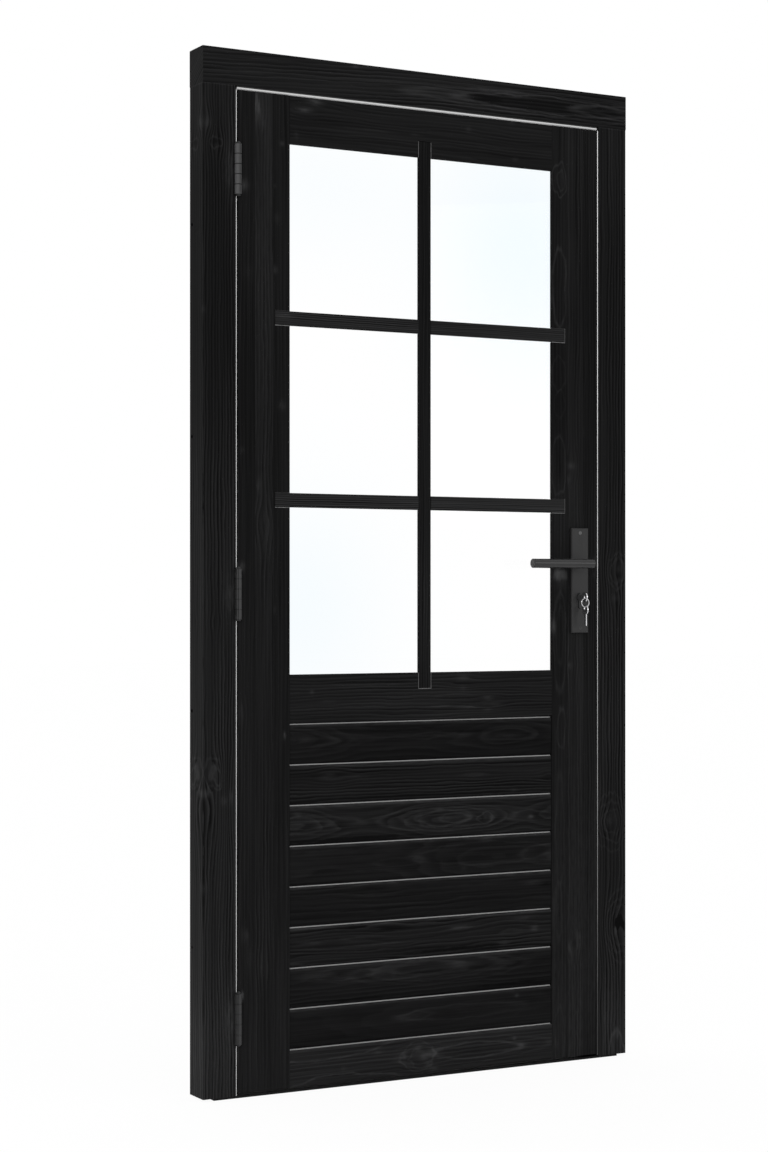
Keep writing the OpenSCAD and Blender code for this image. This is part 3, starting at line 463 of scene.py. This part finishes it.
dress("lock_stile", stained("stain_lock_stile", 0.0066, glued(
    joints=(355, 395), lamellas=(lock_inner, lock_middle, lock_outer), gains=(0.96, 1.04, 0.94))))


# Rails: the leaf's three cross pieces, tenoned into the stiles and stained black. The bottom
# one is the palest, with a big knot in the middle and an outlined oval right of it.
def level_grain(seed, pitch, contrast, **more):
    """The figure of a timber that lies level."""
    return lambda x, y, z: figure(x, z + (y - front_face) * side_slant, seed, pitch, contrast, **more)


dress("top_rail", stained("stain_top_rail", 0.0077, level_grain(
    seed=31.2, pitch=8.0, contrast=0.6, waver=2.0,
    knots=[(-280, 2000, 34, 20, 0.8)],
    marks=[(-258, 2012, 16, 6, 2.4), (-282, 1993, 16, 5, 2.2), (-120, 1967, 70, 2.2, 0.7),
           (160, 1957, 60, 2.5, 0.5), (106, 1990, 7, 7, 0.6), (212, 2016, 10, 6, 0.6),
           (222, 1937, 7, 5, 0.6), (-300, 1940, 5, 9, 0.5), (-22, 1967, 12, 2, 0.7)])))

rail_groove = ((-306, 306), (-16, -5), (743, 762))
dress("middle_rail", stained("stain_middle_rail", 0.0088, level_grain(
    seed=33.8, pitch=7.0, contrast=1.0, waver=1.8,
    broad=[(60, 110, 0.18), (-250, 120, -0.08)],
    knots=[(92, 826, 40, 14, 0.8), (155, 782, 34, 12, 0.8), (-228, 790, 30, 10, 0.5)],
    marks=[(92, 834, 14, 6, 0.9), (92, 812, 9, 6, 0.5), (40, 775, 34, 2.2, 0.9), (108, 772, 22, 3.5, 1.2),
           (155, 790, 12, 4, 1.0), (152, 765, 10, 3, 0.9), (176, 774, 12, 3, 0.7), (-265, 810, 5, 4, 1.2),
           (-228, 790, 14, 4, 0.4), (-150, 823, 120, 3, 0.4)]), rail_groove))

pale_tongue = 0.36
rail_tongue = ((-316, 316), (-17, 0), (83.4, 85.9))
dress("bottom_rail", stained("stain_bottom_rail", 0.0133, level_grain(
    seed=35.5, pitch=8.0, contrast=0.6, waver=0.7,
    knots=[(-14, 46, 34, 26, 0.9)],
    loops=[(125, 46, 112, 16, 0.85), (120, 46, 190, 27, 0.3), (-260, 100, 210, 43, 0.8),
           (-190, -18, 200, 43, 0.8), (-18, 45, 42, 25, 0.55), (-6, 44, 30, 16, 0.4)],
    # The last mark, a pale line along the bottom rail's top edge, is a painted highlight.
    marks=[(-16, 62, 9, 6, 1.0), (-2, 42, 10, 7, 0.9), (10, 28, 9, 7, 0.7), (236, 46, 7, 5, 1.0),
           (220, 62, 5, 4, 1.0), (-50, 48, 6, 7, 0.9), (20, 16, 10, 4, 0.8), (-110, 63, 12, 4, 0.6),
           (-192, 36, 6, 6, 0.4), (125, 46, 90, 10, -0.12), (0, 83, 2000, 3.2, 0.8)]),
    rail_tongue, pale_tongue))

# Boards: eight tongued and grooved softwood boards lying level between the stiles, stained
# black before they were fitted, so that the tongues show as pale lines in the open joints.
board_pitch = 82.5
board_bottom = 84
whole_length = 2000
boards = [
    (0.0056, dict(
        pitch=9.0, contrast=0.9, waver=1.6, heart=(711, 40), arches=[(-350, 130, 40), (190, 110, 24)],
        loops=[(-330, 713, 60, 8, 0.5), (-330, 713, 118, 18, 0.6), (-330, 712, 160, 25, 0.4),
               (205, 711, 64, 12, 0.5), (20, 714, 80, 5, 0.5)],
        marks=[(195, 710, 40, 6, 0.5), (40, 715, 55, 3, 0.7), (-60, 728, 90, 5, -0.3),
               (258, 711, 12, 4, -0.5), (-290, 713, 18, 4, 0.6), (110, 722, 50, 4, -0.3),
               (0, 690, 260, 8, -0.15)])),
    (0.0070, dict(
        pitch=7.0, contrast=1.7, broad=[(280, 240, 0.15), (-300, 150, -0.05)],
        knots=[(-222, 637, 44, 18, 0.9), (130, 628, 40, 12, 0.8), (312, 620, 26, 14, 0.9)],
        marks=[(-226, 640, 16, 7, 0.8), (-165, 636, 26, 3, 0.7), (120, 628, 30, 4, 0.7),
               (306, 620, 12, 6, -0.5), (-240, 610, 50, 4, 0.35), (220, 592, 9, 4, 0.6),
               (-50, 592, 260, 4, -0.35)])),
    (0.0087, dict(
        pitch=8.0, contrast=1.0, waver=1.8, broad=[(-240, 150, 0.16)],
        heart=(538, 44), arches=[(75, 140, 44), (-300, 90, 30), (330, 60, 24)],
        loops=[(72, 539, 36, 9, 0.8), (48, 541, 64, 17, 0.9), (60, 541, 112, 22, 0.7),
               (56, 541, 165, 27, 0.7), (-300, 541, 80, 9, 0.7), (-300, 541, 150, 17, 0.5),
               (149, 537, 17, 10, 0.9), (262, 535, 60, 11, 0.6)],
        knots=[(148, 538, 16, 12, 0.8)],
        marks=[(262, 534, 7, 4, 2.6), (35, 559, 10, 4, 1.2), (62, 540, 34, 3, 0.9), (148, 538, 5, 5, 0.8),
               (-296, 562, 8, 4, 1.2), (-200, 507, 170, 5, -1.0), (-290, 545, 22, 4, 0.6)])),
    (0.0070, dict(
        pitch=13.0, contrast=0.6, waver=1.6, heart=(455, 60), arches=[(150, 150, 46), (370, 90, 50)],
        loops=[(150, 462, 170, 24, 0.5), (325, 456, 85, 18, 0.6), (-60, 455, 60, 9, 0.4)],
        marks=[(152, 491, 18, 6, 1.0), (312, 448, 18, 12, 0.8), (-30, 462, 14, 8, 0.4),
               (96, 432, 7, 5, 0.5), (60, 447, 60, 7, -0.2)])),
    (0.0064, dict(
        pitch=12.0, contrast=0.9, knots=[(-122, 402, 44, 16, 0.8), (268, 394, 50, 12, 0.8)],
        marks=[(268, 392, 20, 4, 1.0), (-124, 390, 34, 3, 0.6), (-122, 402, 26, 5, -0.3),
               (110, 397, 180, 2, 0.5), (300, 388, 16, 5, -0.4)])),
    (0.0081, dict(
        pitch=9.0, contrast=1.7, waver=2.6, knots=[(-230, 296, 60, 14, 0.8), (215, 292, 40, 14, 0.9)],
        marks=[(-268, 300, 26, 4, 1.0), (-165, 304, 60, 2.5, 0.9), (88, 308, 24, 4, 1.8),
               (271, 294, 9, 6, 1.8), (196, 268, 14, 3, 1.6), (90, 264, 130, 5, -1.0),
               (-150, 323, 80, 3.5, -0.9), (-110, 287, 80, 2, 0.9), (240, 318, 26, 4, 0.9),
               (-300, 258, 16, 4, 1.2), (213, 291, 16, 6, -0.4), (-60, 274, 60, 3, -0.4)])),
    (0.0066, dict(
        pitch=5.5, contrast=1.1, waver=1.3, heart=(238, 60),
        loops=[(-185, 231, 75, 11, 0.8), (-180, 231, 50, 7, 0.6), (-100, 230, 185, 18, 0.5),
               (-40, 232, 110, 9, 0.3), (10, 230, 90, 13, 0.6), (5, 229, 108, 16, 0.6),
               (30, 228, 150, 20, 0.6), (35, 227, 165, 24, 0.6), (40, 225, 215, 29, 0.5)],
        marks=[(230, 180, 110, 5, -0.7), (-236, 230, 14, 4, 0.5), (80, 232, 18, 6, 0.4),
               (-120, 177, 160, 3, -0.5), (-75, 222, 8, 8, 0.4)])),
    (0.0068, dict(
        pitch=13.0, contrast=0.45, waver=1.6, heart=(130, 50), arches=[(80, 200, 40)],
        loops=[(90, 131, 160, 15, 0.5), (-20, 131, 40, 8, 0.4)],
        marks=[(227, 153.5, 5, 3.5, 2.2), (-40, 128, 40, 10, 0.5), (130, 138, 160, 4, 0.35)])),
]
for number, (tone, grain) in enumerate(boards, 1):
    low = board_bottom + (len(boards) - number) * board_pitch
    high = low + board_pitch
    tongue = ((-316, 316), (-17.4, 0.4), (high - 0.6, high + 1.9))
    # The first mark added to each board is a painted highlight along its top edge, the second a painted
    # shadow along its bottom edge just above the joint below.
    painted_highlight_edge = (0, high - 1, whole_length, 3.2, 1.7)
    painted_shadow_edge = (0, low + 5.5, whole_length, 3, -0.45)
    grain["marks"] += [painted_highlight_edge, painted_shadow_edge]
    dress(f"panel_board_{number}", stained(
        f"stain_board_{number}", tone, level_grain(seed=40.3 + 1.9 * number, **grain), tongue, pale_tongue))

# Glass: one pane of clear float glass behind all six lights, held in a rebate by beads.
# Its faint blue in places, most at the upper right and then at the lower left, is a painted reflection.
glass, glass_shader, place = new_finish("float_glass")
right, _, up = millimetres(place)
upper_right = hill(up, right, along=1760, across=250, length=260, width=210)
upper_left = hill(up, right, along=1850, across=-250, length=160, width=240) * 0.4
lower_left = hill(up, right, along=980, across=-300, length=230, width=210) * 0.7
painted_blue_reflection = upper_right + upper_left + lower_left
painted_blue_reflection = painted_blue_reflection.math("MINIMUM", painted_blue_reflection, 1.0)
feed(glass_shader, {"Base Color": blend(painted_blue_reflection, grey(1), (0.90, 0.966, 1, 1)), "Roughness": 0.0, "IOR": 1.12,
                    "Transmission Weight": 1.0})
dress("glass_pane", glass)

# Glazing bars: three thin laths in front of the glass, halved over each other at the crossings,
# their ends let into the stiles and rails. Stained black, with fine and mostly straight grain.
dress("glazing_bar_upright", stained("stain_bar_upright", 0.0056, upright_grain(
    seed=71.0, pitch=6.0, contrast=1.4, broad=[(980, 200, 0.7)], knots=[(1480, 3, 120, 8, 0.6)])))
dress("glazing_bar_upper", stained("stain_bar_upper", 0.0142, level_grain(
    seed=73.0, pitch=4.2, contrast=2.0, marks=[(-330, 1572, 22, 6, 0.6)])))
dress("glazing_bar_lower", stained("stain_bar_lower", 0.0148, level_grain(
    seed=75.0, pitch=4.2, contrast=2.0)))

# Bar end putty: filler pressed into the narrow joints round the let-in ends of the bars and
# scraped off a little below the face. It is pale below the ends; beside and above them the same filler is
# given painted shade, dull beside and dark above.
putty_front = -19.6
putty_back = -15.0
joint = 1.1
half_bar = 14.5
bar_heights = (1199.5, 1567.5)
lap = 33
sight = 315
light_low = 846
light_high = 1921
putties = (("dull_putty", 0.05, 0.14), ("pale_putty", 0.04, 0.24), ("dark_putty", 0.008, 0.012))
dull, pale, dark = range(len(putties))
strips = [(-half_bar - joint, light_low - lap - joint, half_bar + joint, light_low - lap, pale)]
for left in (-half_bar - joint, half_bar):
    strips += [(left, light_low - lap, left + joint, light_low, dull),
               (left, light_high, left + joint, light_high + lap, dull)]
for height in bar_heights:
    low = height - half_bar - joint
    high = height + half_bar
    for left in (-sight - lap, sight):
        strips += [(left, low, left + lap, low + joint, pale), (left, high, left + lap, high + joint, dark)]
    strips.append((sight + lap, low, sight + lap + joint, high + joint, dull))
shape = bmesh.new()
for x0, z0, x1, z1, kind in strips:
    block = bmesh.ops.create_cube(shape, size=1)["verts"]
    size = (x1 - x0, putty_back - putty_front, z1 - z0)
    middle = ((x0 + x1) / 2, (putty_front + putty_back) / 2, (z0 + z1) / 2)
    bmesh.ops.scale(shape, vec=[length / 1000 for length in size], verts=block)
    bmesh.ops.translate(shape, vec=[length / 1000 for length in middle], verts=block)
    for face in {face for corner in block for face in corner.link_faces}:
        face.material_index = kind
putty_mesh = bpy.data.meshes.new("bar_end_putty")
shape.to_mesh(putty_mesh)
shape.free()
putty = bpy.data.objects.new("bar_end_putty", putty_mesh)
scene.collection.objects.link(putty)
for name, low_shade, high_shade in putties:
    filler, filler_shader, place = new_finish(name)
    crumbs = blend(speckle(place, scale=160.0), grey(low_shade), grey(high_shade))
    feed(filler_shader, {"Base Color": crumbs, "Roughness": 0.9})
    putty_mesh.materials.append(filler)
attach(putty, "leaf")

# Glazing beads: four bevelled softwood strips, mitred at the corners, that hold the glass
# in its rebate from behind. They are stained black like the bars.
for number, side in enumerate(("top", "bottom", "left", "right")):
    grain = level_grain if side in ("top", "bottom") else upright_grain
    dress(f"glazing_bead_{side}", stained(
        f"stain_bead_{side}", 0.0085, grain(seed=81.0 + number, pitch=5.0, contrast=0.8)))

# Hinges: three steel butt hinges with five knuckles, powder coated dark grey and let into
# the hinge jamb and stile. Loose pins with small caps hold the two halves together.
knuckle_height = 20.4
seam_width = 0.04


def knuckle_shade(middle, seam_shade, streaks):
    """Painted shade in the seams between the knuckles and in streaks (across, half width, amount) down
    them, for the shading of the round knuckles.
    """
    def darkening(x, y, z):
        turn = (z - middle) / knuckle_height
        seam = turn.math("PINGPONG", turn + 0.5, 0.5)
        painted_dark = seam.math("LESS_THAN", seam, seam_width) * seam_shade
        for across, width, amount in streaks:
            painted_dark = painted_dark + bell((x - across) / width) * amount
        return painted_dark * (1 + cloud(z, x, middle, length=14, width=4) * 1.2)
    return darkening


# The hinges share one coat at three tones, the top one lightest: painted light from above. The seams and
# streaks are painted shade.
for height, middle, tone, seam_shade, streaks in (
        ("top", 1858.5, 0.074, 0.8, [(-431.5, 4, 0.5)]),
        ("middle", 1009, 0.043, 0.3, [(-440, 0.9, 0.85), (-436.4, 0.9, 0.7), (-438.5, 1.5, 0.1)]),
        ("bottom", 159.5, 0.039, 0.2, [(-440, 0.9, 0.4), (-437.0, 2.2, 0.5)])):
    painted_dark = knuckle_shade(middle, seam_shade, streaks)
    hinge_coat = coated(f"dark_coat_hinge_{height}", tone, rough=0.45, specular=0.1, darkening=painted_dark)
    dress(f"frame_hinge_leaf_{height}", hinge_coat)
    dress(f"door_hinge_leaf_{height}", hinge_coat)
for name in ("hinge_pins", "frame_hinge_screws", "door_hinge_screws"):
    dress(name, hinge_coat)

# Mortise lock: zinc plated case, cover, bolts and screws, sunk into the lock stile's edge. Only
# the forend, its screws and the bolts' ends show when the leaf is open. The spindle and the
# frame's long screws are plated alike.
zinc = coated("zinc_plate", tone=0.5, rough=0.38, specular=0.5, metallic=0.9)
for name in ("lock_case", "lock_cover", "forend_screws", "latch_bolt", "dead_bolt", "cylinder_screw",
             "follower", "spindle", "frame_screws"):
    dress(name, zinc)

# Strike plate: a flat metal keep for the latch and the dead bolt, coated dark grey. It is let
# into the lock jamb and held by two screws of the same colour.
strike_coat = coated("dark_coat_strike", tone=0.03, rough=0.42, specular=0.4)
for name in ("strike_plate", "strike_screws"):
    dress(name, strike_coat)

# Door plates and levers: cast metal, powder coated dark grey with a satin sheen. The plates
# cover the lock on both faces. Outside is a round bar lever, inside a turned knob.
rim_width = 0.0015
rim_angle = 60
weld_gap = 0.00001
between_screws = 1000
plate_coat = coated("dark_coat_plates", tone=0.016, rough=0.42, specular=0.25)
for name in ("front_plate", "back_plate"):
    dress(name, plate_coat)
    weld = pieces[name].modifiers.new("weld", "WELD")
    weld.merge_threshold = weld_gap
    rim = pieces[name].modifiers.new("rim", "BEVEL")
    rim.width = rim_width
    rim.segments = 2
    rim.angle_limit = math.radians(rim_angle)
lever_coat = coated("dark_coat_levers", tone=0.02, rough=0.2, specular=0.28)
for name in ("front_lever", "back_knob"):
    dress(name, lever_coat)


def lower_screw(x, y, z):
    """The lower screw of each plate, painted darker than the upper one."""
    return z.math("LESS_THAN", z, between_screws) * 0.75


dress("plate_screws", coated("dark_coat_screws", tone=0.06, rough=0.3, specular=0.5, darkening=lower_screw))

# Lock cylinder and keys: the cylinder is blackened brass, the keys are nickel plated. One key is
# in the lock, and a split ring through its bow carries the spare.
nickel = coated("nickel_plate", tone=0.62, rough=0.22, specular=0.5, metallic=1.0)
for name in ("key", "key_ring", "spare_key"):
    dress(name, nickel)
for name in ("cylinder_body", "cylinder_plug"):
    dress(name, plate_coat)
